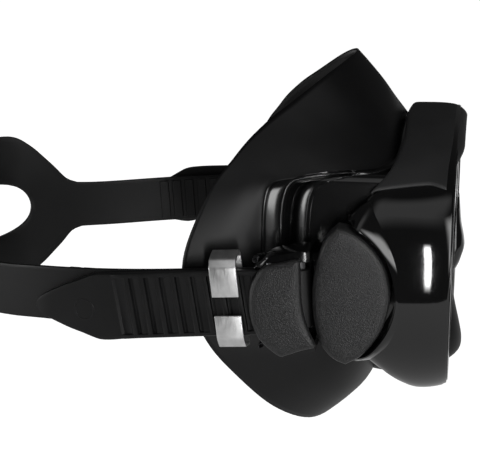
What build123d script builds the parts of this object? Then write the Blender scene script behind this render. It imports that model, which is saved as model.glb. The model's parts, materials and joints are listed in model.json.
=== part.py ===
from build123d import *
import os
from math import asin, cos, degrees, radians, sin

# A twin-lens diving mask with swivelling strap buckles, in millimetres.
# +Z is up and -Y is the front. The origin is on the mid-plane, level with the buckle pivots,
# in the plane of the skirt's rearmost edges, where the mask seals on the sides of the face.
# Each side piece is drawn on the wearer's left (+X) with the strap level, tipped by the strap's
# droop about the pivot, and mirrored for the right.

# ---- front frame, brow, rim and lenses ----
FRONT_Y = -82.0            # front face of the frame, behind the rim
FRAME_WALL = 2.6           # thickness of the frame's front plate
RIM_THICK = 2.6            # front rim, ahead of the frame
LENS_THICK = 3.0           # tempered glass
LENS_LAND = 2.4            # how far the frame and the rim overlap the glass
LENS_GAP = 0.2             # clearance round the glass in its seat
CAVITY_HALF = 58.3         # half width of the hollow behind the lenses
EAR_IN, EAR_OUT = 58.6, 62.5   # the ear plate that carries the pivot, from the inside out
EAR_R = 11.0
BROW_SPLIT_Z = 33.5        # the brow cap sits on the frame above this height
BRIDGE_FRONT = -90.0       # foremost edge of the wedge over the nose bridge
BROW_LIP_Z, BROW_LIP_HALF, BROW_LIP_FRONT = 41.5, 46.0, -87.0   # its lip laps over the rim
NOSE_HALF, NOSE_TOP, NOSE_Y = 27.0, 16.0, -74.0   # behind here the frame is open for the nose

# ---- swivel and buckle ----
PIVOT_Y, PIVOT_Z = -44.0, 0.0
DROOP = 4.0                # degrees that the buckles and the strap hang below level
PIN_R, PIN_HEAD_R = 3.0, 4.3
RUN_GAP = 0.05             # radial clearance of a running fit
RECESS_R = 24.8            # round seat in the frame's side that the swivel cover turns in
COLLAR_FOOT, COLLAR_TOP = (32.2, 66.0), (25.6, 72.6)   # radius and X of the collar round the seat
BASE_IN, BASE_OUT = 62.8, 64.6
HEAD_IN, HEAD_OUT = 63.9, 64.5
COVER_OUT = 72.8           # outer face of the swivel cover
COVER_FRONT_R = 24.0       # front edge, an arc about the pivot
COVER_REAR_R, COVER_REAR_Y = 26.8, -70.4
COVER_WALL = 1.8
CHEEK_IN, CHEEK_OUT = 12.7, 14.7   # side cheeks of the buckle, measured along the strap's width
PIN_END = 14.1             # the pins end in blind holes in the cheeks
ROLLER_X, ROLLER_Y, ROLLER_R = 68.7, -40.0, 1.5
ROLLER_PIN_R = 0.75
LEVER_X, LEVER_Y, LEVER_PIN_R = 72.8, -31.0, 0.8
LEVER_IN, LEVER_OUT = 74.2, 76.8
LEVER_HALF = 15.5
LUG_IN, LUG_OUT = 10.5, 12.4
SPRING_Y, SPRING_R, SPRING_WIRE, SPRING_PITCH = -27.0, 0.75, 0.18, 0.7
SPRING_FOOT, SPRING_TOP = 70.5, 74.0
PAWL_Y, PAWL_TIP = -36.4, 72.4

# ---- strap ----
STRAP_T = 1.6
RUN_WIDTH, TAIL_WIDTH = 16.6, 20.0
BEND_R = ROLLER_R + 0.1 + STRAP_T / 2        # centreline radius round the roller
RUN_X = ROLLER_X - BEND_R
TAIL_X = ROLLER_X + BEND_R
SIDE_R = 150.0             # gentle curve of each arm behind its straight run
REAR_Y = 85.0              # where the arms turn into the back of the head
PAD_Y = 66.0               # where the arms widen into the split pad
TAIL_R, TAIL_START, TAIL_LENGTH = 330.0, -2.0, 84.0
RIB_PITCH, RIB_COUNT, RIB_WIDE, RIB_HIGH = 5.05, 11, 3.4, 1.0
FIRST_RIB = 1.1            # along the tail from the roller
RUN_RIB_COUNT, RUN_RIB_HIGH, RUN_RIB_Y = 5, 0.4, -20.0   # the same ribs, lower, inside the run

# ---- keeper ----
KEEPER_Y = (-21.5, -13.5)
KEEPER_X = (64.0, 75.0)
KEEPER_HALF, KEEPER_FACE_HALF, KEEPER_SHEET = 14.4, 12.2, 0.9   # widest near the inner side
KEEPER_SLOT = (-6.0, 0.5)  # the open slot in the outer side

# ---- skirt ----
SKIRT_T = 1.8
SKIRT_FRONT, SKIRT_KNEE, SKIRT_REAR = -79.2, -59.0, 0.0


def mirrored(points):
    """A closed outline from the points of its right half, which starts and ends on the mid-plane."""
    return points + [(-x, z) for x, z in reversed(points[1:-1])]


def face_at(y, points, smooth=True):
    """A face in the plane at y, bounded by a closed curve through (x, z) points."""
    curve = Spline(*points, periodic=True) if smooth else Polyline(*points, close=True)
    return Plane.XZ.offset(-y) * make_face(curve)


def plate(y_front, y_rear, points, smooth=True):
    """The solid between two depths with one outline."""
    return extrude(face_at(y_rear, points, smooth), amount=y_rear - y_front)


def shrunk(points, by, centre=(0.0, 8.0)):
    """The outline moved inward by about the same distance all round."""
    moved = []
    for x, z in points:
        reach = Vector(x - centre[0], z - centre[1])
        keep = 1 - by / reach.length
        moved.append((centre[0] + reach.X * keep, centre[1] + reach.Y * keep))
    return moved


def side_prism(points, half_width=100.0, smooth=False):
    """A bar across the whole mask with a (y, z) outline."""
    curve = Spline(*points, periodic=True) if smooth else Polyline(*points, close=True)
    return extrude(Plane.YZ * make_face(curve), amount=half_width, both=True)


def side_disc(y, z, radius, x_in, x_out):
    """A disc whose axis runs across the mask, between two distances from the mid-plane."""
    return extrude(Plane.YZ.offset(x_in) * Pos(y, z) * Circle(radius), amount=x_out - x_in)


def across(x, y, radius, z_low, z_high):
    """A rod along the strap's width."""
    return Pos(x, y, (z_low + z_high) / 2) * Cylinder(radius, z_high - z_low)


def block(x_pair, y_pair, z_pair):
    """A box between three pairs of limits."""
    size = [pair[1] - pair[0] for pair in (x_pair, y_pair, z_pair)]
    middle = [(pair[1] + pair[0]) / 2 for pair in (x_pair, y_pair, z_pair)]
    return Pos(*middle) * Box(*size)


def drooped(shape):
    """The shape tipped with the strap about the buckle's pivot."""
    return Pos(0, PIVOT_Y, PIVOT_Z) * Rot(-DROOP, 0, 0) * Pos(0, -PIVOT_Y, -PIVOT_Z) * shape


OUTLINE = mirrored([
    (0, 47.5), (22, 46.6), (38, 43.2), (52, 37.5), (63, 29.5), (69, 17), (70.5, 2), (69, -12),
    (64, -22.5), (56, -30), (46, -33), (34, -32), (23, -23), (14, -6), (0, 2),
])
CAVITY = mirrored([
    (0, 43), (22, 42), (38, 38.6), (50, 32), (56.5, 22), (CAVITY_HALF, 8), (CAVITY_HALF, -4),
    (54, -16), (44, -24), (33, -24), (25, -15), (17, 0), (0, 9),
])
LENS = [
    (7, 32), (9, 12), (17, -5), (27, -17), (40, -22), (53, -15), (60, 0), (61, 16), (54, 28.5),
    (40, 36), (20, 39),
]
LENS_CENTRE = (36, 12)


def lens_outline(side, by=0.0):
    """A lens outline on one side (+1 left, -1 right), moved inward by a distance."""
    return [(side * x, z) for x, z in shrunk(LENS, by, LENS_CENTRE)]


def make_front_frame():
    """The gloss body: front plate with lens seats, side walls with dished recesses, pivot ears."""
    profile = [
        (FRONT_Y, 60), (-69, 60), (-66.5, 38), (-58, 30), (-54, 24), (-54, -24), (-64, -30),
        (-66, -60), (FRONT_Y, -60),
    ]
    body = plate(FRONT_Y, -40, OUTLINE) & side_prism(profile)
    body -= plate(FRONT_Y + FRAME_WALL + 1.0, -30, CAVITY)
    body -= block((-90, 90), (-90, -20), (BROW_SPLIT_Z, 90))
    body += plate(FRONT_Y, FRONT_Y + FRAME_WALL + 1.0, OUTLINE)
    body -= block((-NOSE_HALF, NOSE_HALF), (NOSE_Y, -20), (-60, NOSE_TOP))
    for side in (1, -1):
        body -= plate(FRONT_Y - 1, FRONT_Y + LENS_THICK, lens_outline(side, -LENS_GAP))
        body -= plate(FRONT_Y - 1, -60, lens_outline(side, LENS_LAND))
        x_in, x_out = (EAR_IN, EAR_OUT) if side > 0 else (-EAR_OUT, -EAR_IN)
        recess_in, recess_out = (EAR_OUT, 80) if side > 0 else (-80, -EAR_OUT)
        rings = [Plane.YZ.offset(side * x) * Pos(PIVOT_Y, PIVOT_Z) * Circle(radius)
                 for radius, x in (COLLAR_FOOT, COLLAR_TOP)]
        body += loft(rings) & side_prism(profile)
        body -= side_disc(PIVOT_Y, PIVOT_Z, RECESS_R, recess_in, recess_out)
        body += block((x_in, x_out), (-62, PIVOT_Y), (-EAR_R, EAR_R))
        body += side_disc(PIVOT_Y, PIVOT_Z, EAR_R, x_in, x_out)
    bore = side_disc(PIVOT_Y, PIVOT_Z, PIN_R, -80, 80)
    return body - bore - brow_lip_space()


def brow_lip_space():
    """The room ahead of the cap's main part that its lip takes from the frame and the rim."""
    return block((-BROW_LIP_HALF, BROW_LIP_HALF), (BROW_LIP_FRONT, FRONT_Y + FRAME_WALL + 1.0),
                 (BROW_LIP_Z, 60))


def make_brow_cap():
    """The matt cap that wraps over the top of the frame."""
    profile = [
        (FRONT_Y + FRAME_WALL + 1.0, 60), (-69, 60), (-66.5, BROW_SPLIT_Z),
        (FRONT_Y + FRAME_WALL + 1.0, BROW_SPLIT_Z),
    ]
    cap = plate(FRONT_Y, -40, OUTLINE) & side_prism(profile)
    cap -= plate(FRONT_Y, -30, CAVITY)
    return cap + (plate(BROW_LIP_FRONT, -78, OUTLINE) & brow_lip_space())


def make_front_rim():
    """The bezel that holds both lenses in their seats."""
    rim = plate(FRONT_Y - RIM_THICK, FRONT_Y, shrunk(OUTLINE, 0.6))
    for side in (1, -1):
        rim -= plate(FRONT_Y - RIM_THICK - 1, FRONT_Y + 1, lens_outline(side, LENS_LAND))
    return rim - brow_lip_space()


def make_lens(side):
    """One pane of tempered glass."""
    return plate(FRONT_Y, FRONT_Y + LENS_THICK, lens_outline(side))


def make_bridge_trim():
    """The gloss clip over the nose bridge, a wedge that stands proud of the rim."""
    face_y = FRONT_Y - RIM_THICK
    outline = mirrored([(0, 18), (4, 16), (5.2, 8), (9, -3), (6.5, -7), (0, -5)])
    wedge = [
        (face_y, 20), (-86.2, 17), (BRIDGE_FRONT, 1.5), (BRIDGE_FRONT, -0.5), (-86.4, -8), (face_y, -8),
    ]
    return plate(BRIDGE_FRONT, face_y, outline) & side_prism(wedge)


def make_skirt(frame_parts):
    """The one-piece silicone moulding: chamber, flared sealing flange and nose pocket."""
    knee = mirrored([
        (0, 45), (20, 44.5), (33, 42.5), (45, 38), (51, 33), (56, 22), (57.4, 5), (55, -12), (50, -20),
        (44, -26), (34, -31.5), (18, -34), (0, -34),
    ])
    flare = mirrored([
        (0, 150), (15, 142), (30, 106), (45, 74), (53, 54.5), (58.2, 33), (61, 5), (59.2, -21),
        (56.5, -37), (49.7, -64), (33, -100), (15, -132), (0, -140),
    ])
    front = shrunk(CAVITY, 0.2)

    def hull(by):
        chamber = plate(SKIRT_FRONT - by / 10, SKIRT_KNEE, shrunk(front, by))
        throat = face_at(SKIRT_KNEE - 5 + by, shrunk(knee, by + 1.5))
        chamber += loft([throat, face_at(SKIRT_KNEE, shrunk(knee, by))])
        flange = loft([face_at(SKIRT_KNEE, shrunk(knee, by)), face_at(SKIRT_REAR + 2, shrunk(flare, by))])
        return chamber + flange

    def nose(by):
        low = Plane.XY.offset(-40 + by) * Pos(0, -66) * Ellipse(18 - by, 22 - by)
        high = Plane.XY.offset(6) * Pos(0, -70) * Ellipse(9 - by, 14 - by)
        return loft([low, high])

    rim_curve = [
        (-110, 66), (-49.3, 66), (-40.7, 62), (-30, 55), (-21.4, 47), (-9.8, 30.5), (-1.5, 10),
        (-0.5, 2), (-8.3, -19.7), (-16.8, -31.6), (-27.9, -45), (-38.8, -54), (-47, -56), (-110, -56),
    ]
    shell = (hull(0) + nose(0)) & side_prism(rim_curve)
    for part in frame_parts:
        shell -= part
    shell = shell - hull(SKIRT_T) - nose(SKIRT_T)
    return shell.solids().sort_by(SortBy.VOLUME)[-1]


def make_pivot_pin():
    """The shouldered pin, pressed into the ear, that the buckle turns on."""
    shaft = side_disc(PIVOT_Y, PIVOT_Z, PIN_R, EAR_IN, HEAD_IN)
    return shaft + side_disc(PIVOT_Y, PIVOT_Z, PIN_HEAD_R, HEAD_IN + RUN_GAP, HEAD_OUT)


def cover_outline(by=0.0):
    """The pointed oval of the swivel cover: one arc about the pivot and one behind it."""
    front = Pos(PIVOT_Y, 0) * Circle(COVER_FRONT_R - by)
    rear = Pos(COVER_REAR_Y, 0) * Circle(COVER_REAR_R - by)
    return front & rear


def make_buckle_body():
    """Base plate under the cover and the strap, and two cheeks that carry the pins."""
    base = extrude(Plane.YZ.offset(BASE_IN) * cover_outline(), amount=BASE_OUT - BASE_IN)
    base += block((BASE_IN, BASE_OUT), (-54, -25), (-CHEEK_OUT, CHEEK_OUT))
    cheek = [
        (BASE_IN, -46.5), (71.5, -46.5), (73.8, -43), (73.8, -30), (SPRING_FOOT, -28.8),
        (SPRING_FOOT, -25), (BASE_IN, -25),
    ]
    profile = make_face(Polyline(*cheek, close=True))
    body = base
    for low in (-CHEEK_OUT, CHEEK_IN):
        body += extrude(Plane.XY.offset(low) * profile, amount=CHEEK_OUT - CHEEK_IN)
    body -= side_disc(PIVOT_Y, PIVOT_Z, PIN_R + RUN_GAP, BASE_IN - 1, BASE_OUT + 1)
    body -= side_disc(PIVOT_Y, PIVOT_Z, PIN_HEAD_R + 0.1, HEAD_IN, BASE_OUT + 1)
    body -= across(ROLLER_X, ROLLER_Y, ROLLER_PIN_R, -PIN_END, PIN_END)
    return body - across(LEVER_X, LEVER_Y, LEVER_PIN_R, -PIN_END, PIN_END)


def make_swivel_cover():
    """The textured teardrop shell over the pivot, hollow on its inner side."""
    shell = extrude(Plane.YZ.offset(BASE_OUT) * cover_outline(), amount=COVER_OUT - BASE_OUT)
    shell = fillet(shell.faces().sort_by(Axis.X)[-1].edges(), 1.0)
    hollow_depth = COVER_OUT - COVER_WALL - BASE_OUT
    shell -= extrude(Plane.YZ.offset(BASE_OUT) * cover_outline(COVER_WALL), amount=hollow_depth)
    return shell - side_disc(PIVOT_Y, PIVOT_Z, PIN_HEAD_R + 0.4, BASE_OUT, BASE_OUT + 0.6)


def make_lever():
    """The release lever: textured cover, two lugs on the pin and the pawl that holds the ribs."""
    arc_front = ThreePointArc((-42.2, -15.3), (-39.5, 0), (-42.2, 15.3))
    top = Line((-42.2, 15.3), (-31, LEVER_HALF))
    arc_rear = ThreePointArc((-31, LEVER_HALF), (-24.4, 0), (-31, -LEVER_HALF))
    bottom = Line((-31, -LEVER_HALF), (-42.2, -15.3))
    outline = make_face(arc_front + top + arc_rear + bottom)
    cover = extrude(Plane.YZ.offset(LEVER_IN) * outline, amount=LEVER_OUT - LEVER_IN)
    cover = fillet(cover.faces().sort_by(Axis.X)[-1].edges(), 0.9)
    for low in (-LUG_OUT, LUG_IN):
        cover += block((71.2, LEVER_IN), (-34, -28.6), (low, low + LUG_OUT - LUG_IN))
    cover += block((PAWL_TIP, LEVER_IN), (PAWL_Y - 0.6, PAWL_Y + 0.6), (-9, 9))
    return cover - across(LEVER_X, LEVER_Y, LEVER_PIN_R + RUN_GAP, -20, 20)


def make_lever_pins():
    """Two stub pins, one pressed into each cheek."""
    stub = across(LEVER_X, LEVER_Y, LEVER_PIN_R, LUG_IN, PIN_END)
    return Compound([stub, mirror(stub, Plane.XY)])


def make_lever_springs():
    """Two small compression springs between the cheeks' ledges and the lever."""
    height = SPRING_TOP - SPRING_FOOT - 2 * SPRING_WIRE
    middle = (CHEEK_IN + CHEEK_OUT) / 2
    path = Helix(pitch=SPRING_PITCH, height=height, radius=SPRING_R)
    wire = sweep(Plane(path @ 0, z_dir=path % 0) * Circle(SPRING_WIRE), path, is_frenet=True)
    coil = Pos(SPRING_FOOT + SPRING_WIRE, SPRING_Y, middle) * Rot(0, 90, 0) * wire
    return Compound([coil, mirror(coil, Plane.XY)])


def make_roller():
    """The tube that the strap runs round."""
    tube = across(ROLLER_X, ROLLER_Y, ROLLER_R, -12.4, 12.4)
    return tube - across(ROLLER_X, ROLLER_Y, ROLLER_PIN_R + RUN_GAP, -13, 13)


def make_roller_pin():
    """The steel pin through the roller, pressed into both cheeks."""
    return across(ROLLER_X, ROLLER_Y, ROLLER_PIN_R, -PIN_END, PIN_END)


def make_keeper():
    """The sheet clip round the tail and the inner run, slotted on its outer side."""

    def bar(by, y_pair):
        low, high = KEEPER_X[0] + by, KEEPER_X[1] - by
        wide, face = KEEPER_HALF - by, KEEPER_FACE_HALF - by
        upper = [(low, wide), (low + 2, wide), (high, face)]
        outline = upper + [(x, -z) for x, z in reversed(upper)]
        solid = plate(*y_pair, outline, smooth=False)
        return fillet(solid.edges().filter_by(Axis.Y), 1.6 - by)

    sleeve = bar(0, KEEPER_Y) - bar(KEEPER_SHEET, (-30, 0))
    return sleeve - block((KEEPER_X[1] - 2, KEEPER_X[1] + 1), (-30, 0), KEEPER_SLOT)


def swept(path, start, across_dir, width, thick=STRAP_T):
    """A flat band swept along a plan curve."""
    section = Plane(origin=start, x_dir=(0, 0, 1), z_dir=across_dir) * Rectangle(width, thick)
    return sweep(section, path)


def arm_paths():
    """The left arm's straight run and its two arcs, which end on the mid-plane."""
    turn = asin(REAR_Y / SIDE_R)
    side_end = (RUN_X - SIDE_R * (1 - cos(turn)), REAR_Y)
    pad_turn = asin(PAD_Y / SIDE_R)
    side_centre = (RUN_X - SIDE_R, 0)
    rear_r = side_end[0] / cos(turn)
    rear_centre = (0, REAR_Y - rear_r * sin(turn))
    arm = CenterArc(side_centre, SIDE_R, 0, degrees(pad_turn))
    pad_side = CenterArc(side_centre, SIDE_R, degrees(pad_turn), degrees(turn - pad_turn))
    pad_rear = CenterArc(rear_centre, rear_r, degrees(turn), 90 - degrees(turn))
    return arm, pad_side, pad_rear


def band(path, width):
    """A band along a curve, square to it at its start."""
    start = path @ 0
    return swept(path, (start.X, start.Y, 0), tuple(path % 0), width)


def make_strap_tail():
    """The free end outside the buckle, with grip ribs and a tapered tip."""
    centre = (TAIL_X - TAIL_R * cos(radians(TAIL_START)), ROLLER_Y - TAIL_R * sin(radians(TAIL_START)))
    sweep_deg = degrees(TAIL_LENGTH / TAIL_R)
    tail = band(CenterArc(centre, TAIL_R, TAIL_START, sweep_deg), TAIL_WIDTH)
    for index in range(RIB_COUNT):
        angle = TAIL_START + degrees((FIRST_RIB + index * RIB_PITCH) / TAIL_R)
        reach = TAIL_R + STRAP_T / 2 + RIB_HIGH / 2
        rib = Box(RIB_HIGH + 0.2, RIB_WIDE, TAIL_WIDTH)
        tail += Pos(*centre, 0) * Rot(0, 0, angle) * Pos(reach - 0.1, 0, 0) * rib
    half = TAIL_WIDTH / 2
    tip_y = ROLLER_Y + TAIL_LENGTH
    tip = Polyline((-60, -half), (-60, half), (22, half), (tip_y - 3, 5), (tip_y - 3, -5), (22, -half),
                   close=True)
    nose = Pos(tip_y - 5, 0) * Circle(5.4)
    return tail & extrude(Plane.YZ * (make_face(tip) + nose), amount=90)


def make_strap():
    """One silicone strap: two tails, two bends round the rollers, two arms and the split pad."""
    arm, pad_side, pad_rear = arm_paths()
    straight = Line((RUN_X, ROLLER_Y), (RUN_X, 0))
    half = band(straight, RUN_WIDTH) + band(arm, RUN_WIDTH)
    ring = across(ROLLER_X, ROLLER_Y, BEND_R + STRAP_T / 2, -RUN_WIDTH / 2, RUN_WIDTH / 2)
    ring -= across(ROLLER_X, ROLLER_Y, BEND_R - STRAP_T / 2, -20, 20)
    half += ring & block((50, 90), (-60, ROLLER_Y), (-20, 20))
    half += make_strap_tail()
    for index in range(RUN_RIB_COUNT):
        low = RUN_RIB_Y + index * RIB_PITCH
        inner = RUN_X - STRAP_T / 2
        rib_z = (-RUN_WIDTH / 2, RUN_WIDTH / 2)
        half += block((inner - RUN_RIB_HIGH, inner + 0.1), (low, low + RIB_WIDE), rib_z)
    pad = band(pad_side, 58) + band(pad_rear, 58)
    neck = RUN_WIDTH / 2
    outline = Spline((PAD_Y - 0.5, neck), (73, 15), (84, 25), (94, 28), (104, 28.5), (125, 28.5))
    edge = make_face(outline + Line((125, 28.5), (125, 0)) + Line((125, 0), (PAD_Y - 0.5, 0))
                     + Line((PAD_Y - 0.5, 0), (PAD_Y - 0.5, neck)))
    shape = edge + mirror(edge, Plane.XZ)
    hole = Pos(92, 0) * Ellipse(11, 11) + Pos(112, 0) * Rectangle(40, 22)
    pad &= extrude(Plane.YZ * (shape - hole), amount=90)
    half += pad
    return half + mirror(half, Plane.YZ)


SIDE_PIECES = {
    "buckle_body": make_buckle_body,
    "swivel_cover": make_swivel_cover,
    "release_lever": make_lever,
    "lever_pins": make_lever_pins,
    "lever_springs": make_lever_springs,
    "strap_roller": make_roller,
    "roller_pin": make_roller_pin,
    "strap_keeper": make_keeper,
}


def build():
    """Every piece by its node name."""
    frame = make_front_frame()
    brow = make_brow_cap()
    rim = make_front_rim()
    lenses = {"lens_left": make_lens(1), "lens_right": make_lens(-1)}
    pieces = {"front_frame": frame, "brow_cap": brow, "front_rim": rim, "bridge_trim": make_bridge_trim()}
    pieces.update(lenses)
    pieces["skirt"] = make_skirt([frame, brow, rim, pieces["bridge_trim"], *lenses.values()])
    pieces["strap"] = drooped(make_strap())
    pin = make_pivot_pin()
    pieces["pivot_pin_left"] = pin
    pieces["pivot_pin_right"] = mirror(pin, Plane.YZ)
    for name, make in SIDE_PIECES.items():
        piece = drooped(make())
        pieces[name + "_left"] = piece
        pieces[name + "_right"] = mirror(piece, Plane.YZ)
    return pieces


os.makedirs("parts", exist_ok=True)
for node, shape in build().items():
    export_step(shape, f"parts/{node}.step")
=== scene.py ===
import json
import math
import bmesh
import bpy
import numpy as np
from mathutils import Matrix, Vector


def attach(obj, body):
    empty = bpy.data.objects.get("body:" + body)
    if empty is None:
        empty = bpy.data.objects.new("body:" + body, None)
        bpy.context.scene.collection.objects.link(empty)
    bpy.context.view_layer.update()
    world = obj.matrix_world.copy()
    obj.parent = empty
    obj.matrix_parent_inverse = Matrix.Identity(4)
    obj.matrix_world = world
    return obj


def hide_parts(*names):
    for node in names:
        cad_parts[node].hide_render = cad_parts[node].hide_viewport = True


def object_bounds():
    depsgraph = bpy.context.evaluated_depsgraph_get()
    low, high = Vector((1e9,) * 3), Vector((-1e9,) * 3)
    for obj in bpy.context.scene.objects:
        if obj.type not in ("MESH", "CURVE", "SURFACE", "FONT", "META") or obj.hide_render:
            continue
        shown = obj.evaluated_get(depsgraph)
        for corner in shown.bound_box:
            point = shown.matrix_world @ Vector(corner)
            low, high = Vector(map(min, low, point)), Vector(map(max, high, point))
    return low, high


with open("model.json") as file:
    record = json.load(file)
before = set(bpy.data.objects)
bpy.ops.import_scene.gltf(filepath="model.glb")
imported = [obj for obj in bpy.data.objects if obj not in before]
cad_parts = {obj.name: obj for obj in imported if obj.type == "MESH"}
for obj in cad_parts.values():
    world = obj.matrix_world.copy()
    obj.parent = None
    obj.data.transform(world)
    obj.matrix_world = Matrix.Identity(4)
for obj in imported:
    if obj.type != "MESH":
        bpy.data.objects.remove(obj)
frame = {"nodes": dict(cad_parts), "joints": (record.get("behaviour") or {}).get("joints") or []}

CAD_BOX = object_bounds()
MM = 0.001
PIVOT = Vector(frame["joints"][0]["pos_m"]) / MM
DROOP = math.radians(4.0)      # the buckles and the strap hang this far below level
SIDES = {"left": 1, "right": -1}


# ---------------------------------------------------------------- curves and meshes

def spline(points, per_span, closed=False):
    """A smooth Catmull-Rom curve through the points, with per_span steps between neighbours."""
    pts = np.asarray(points, float)
    count = len(pts)
    spans = count if closed else count - 1
    out = []
    for i in range(spans):
        if closed:
            a, b, c, d = (pts[(i + k) % count] for k in (-1, 0, 1, 2))
        else:
            b, c = pts[i], pts[i + 1]
            a = pts[i - 1] if i else 2 * b - c
            d = pts[i + 2] if i + 2 < count else 2 * c - b
        for step in range(per_span):
            t = step / per_span
            out.append(0.5 * (2 * b + (c - a) * t + (2 * a - 5 * b + 4 * c - d) * t * t
                              + (3 * b - a - 3 * c + d) * t ** 3))
    if not closed:
        out.append(pts[-1])
    return np.array(out)


def mesh_object(name, verts, faces):
    """A smooth-shaded mesh object from points in millimetres of the row frame."""
    mesh = bpy.data.meshes.new(name)
    mesh.from_pydata([tuple(v * MM for v in p) for p in verts], [], faces)
    mesh.validate()
    obj = bpy.data.objects.new(name, mesh)
    bpy.context.scene.collection.objects.link(obj)
    mesh.shade_smooth()
    return obj


def grid_object(name, grid, closed_u=False, closed_v=False, caps=False):
    """A mesh from a grid of points: u runs over rows, v within a row. Caps close the two end rows."""
    grid = np.asarray(grid)
    rows, cols = grid.shape[:2]
    verts = grid.reshape(-1, 3)
    faces = []
    for i in range(rows if closed_u else rows - 1):
        for j in range(cols if closed_v else cols - 1):
            a, b = i * cols + j, i * cols + (j + 1) % cols
            c, d = ((i + 1) % rows) * cols + (j + 1) % cols, ((i + 1) % rows) * cols + j
            faces.append((a, b, c, d))
    if caps:
        faces.append(tuple(range(cols))[::-1])
        faces.append(tuple((rows - 1) * cols + j for j in range(cols)))
    return mesh_object(name, verts, faces)


def fix_normals(obj, merge_mm=0.001):
    """Merges doubled points and makes the faces point outward."""
    bm = bmesh.new()
    bm.from_mesh(obj.data)
    bmesh.ops.remove_doubles(bm, verts=bm.verts, dist=merge_mm * MM)
    bmesh.ops.recalc_face_normals(bm, faces=bm.faces)
    bm.to_mesh(obj.data)
    bm.free()
    return obj


def bake(obj):
    """Applies the object's modifiers."""
    deps = bpy.context.evaluated_depsgraph_get()
    mesh = bpy.data.meshes.new_from_object(obj.evaluated_get(deps), depsgraph=deps)
    obj.modifiers.clear()
    obj.data = mesh
    return obj


def thicken(obj, thickness_mm, offset):
    """Gives a sheet a thickness: offset -1 puts it all behind the faces and 0 half on each side."""
    solid = obj.modifiers.new("wall", "SOLIDIFY")
    solid.thickness = thickness_mm * MM
    solid.offset = offset
    return bake(obj)


def drop_points(obj, unwanted):
    """Deletes the points, given in millimetres, that the test picks out."""
    bm = bmesh.new()
    bm.from_mesh(obj.data)
    picked = [v for v in bm.verts if unwanted(*(v.co / MM))]
    bmesh.ops.delete(bm, geom=picked, context="VERTS")
    bm.to_mesh(obj.data)
    bm.free()
    return obj


def join(objs, name):
    """One object from several."""
    with bpy.context.temp_override(active_object=objs[0], selected_editable_objects=objs):
        bpy.ops.object.join()
    objs[0].name = name
    objs[0].data.name = name
    return objs[0]


def mirrored_copy(obj, name):
    """The object's mirror image across the mid-plane."""
    twin = obj.copy()
    twin.data = obj.data.copy()
    twin.name = name
    bpy.context.scene.collection.objects.link(twin)
    twin.data.transform(Matrix.Scale(-1, 4, (1, 0, 0)))
    twin.data.flip_normals()
    return twin


def cut(obj, tool):
    """Takes the tool's volume out of the object."""
    mod = obj.modifiers.new("cut", "BOOLEAN")
    mod.operation = "DIFFERENCE"
    mod.solver = "EXACT"
    mod.object = tool
    bake(obj)
    bpy.data.objects.remove(tool)
    return obj


def sharpen(obj, angle=35):
    """Keeps edges steeper than the angle crisp."""
    obj.data.set_sharp_from_angle(angle=math.radians(angle))
    return obj


def round_edges(obj, width_mm, angle=35, segments=2):
    """A small radius on every edge steeper than the angle."""
    bevel = obj.modifiers.new("edges", "BEVEL")
    bevel.width = width_mm * MM
    bevel.segments = segments
    bevel.limit_method = "ANGLE"
    bevel.angle_limit = math.radians(angle)
    bevel.harden_normals = False
    return obj


def drooped(obj):
    """Tips a piece drawn level about the buckle's pivot, as the strap hangs."""
    pivot = Vector((0, PIVOT.y, PIVOT.z)) * MM
    obj.data.transform(Matrix.Translation(pivot) @ Matrix.Rotation(-DROOP, 4, "X")
                       @ Matrix.Translation(-pivot))
    return obj


def columns(pairs):
    """The keys and the values of a list of pairs, as np.interp takes them."""
    return [k for k, _ in pairs], [v for _, v in pairs]


# ---------------------------------------------------------------- materials

def shader(mat, socket):
    """An input of the material's principled shader."""
    return mat.node_tree.nodes["Principled BSDF"].inputs[socket]


def material(name, base, rough, metal=0.0, specular=0.5):
    """A principled material with its node tree, ready for a bump or colour pattern."""
    mat = bpy.data.materials.new(name)
    mat.use_nodes = True
    shader(mat, "Base Color").default_value = (*base, 1)
    shader(mat, "Roughness").default_value = rough
    shader(mat, "Metallic").default_value = metal
    shader(mat, "Specular IOR Level").default_value = specular
    return mat


def node(mat, kind, **settings):
    """A new node in the material's tree."""
    made = mat.node_tree.nodes.new(kind)
    for key, value in settings.items():
        setattr(made, key, value)
    return made


def noise(mat, size_mm, detail=3.0, stretch=(1, 1, 1)):
    """Object-space noise whose grains are about size_mm across."""
    coords = node(mat, "ShaderNodeTexCoord")
    mapping = node(mat, "ShaderNodeMapping")
    mapping.inputs["Scale"].default_value = tuple(1 / (size_mm * MM * s) for s in stretch)
    mat.node_tree.links.new(coords.outputs["Object"], mapping.inputs["Vector"])
    tex = node(mat, "ShaderNodeTexNoise")
    tex.inputs["Scale"].default_value = 1.0
    tex.inputs["Detail"].default_value = detail
    mat.node_tree.links.new(mapping.outputs["Vector"], tex.inputs["Vector"])
    return tex


def ramp(mat, source, low, high, from_low=0.3, from_high=0.7):
    """Maps a 0 to 1 pattern to a range of values."""
    out = node(mat, "ShaderNodeMapRange")
    out.inputs["From Min"].default_value = from_low
    out.inputs["From Max"].default_value = from_high
    out.inputs["To Min"].default_value = low
    out.inputs["To Max"].default_value = high
    mat.node_tree.links.new(source, out.inputs["Value"])
    return out.outputs["Result"]


def tint(mat, source, dark, light):
    """Colour that varies between two tones with a pattern."""
    mix = node(mat, "ShaderNodeMix", data_type="RGBA")
    colours = [s for s in mix.inputs if s.type == "RGBA"]
    colours[0].default_value = (*dark, 1)
    colours[1].default_value = (*light, 1)
    mat.node_tree.links.new(source, mix.inputs["Factor"])
    out = [s for s in mix.outputs if s.type == "RGBA"][0]
    mat.node_tree.links.new(out, shader(mat, "Base Color"))


def set_rough(mat, source):
    """Roughness from a pattern."""
    mat.node_tree.links.new(source, shader(mat, "Roughness"))


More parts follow.
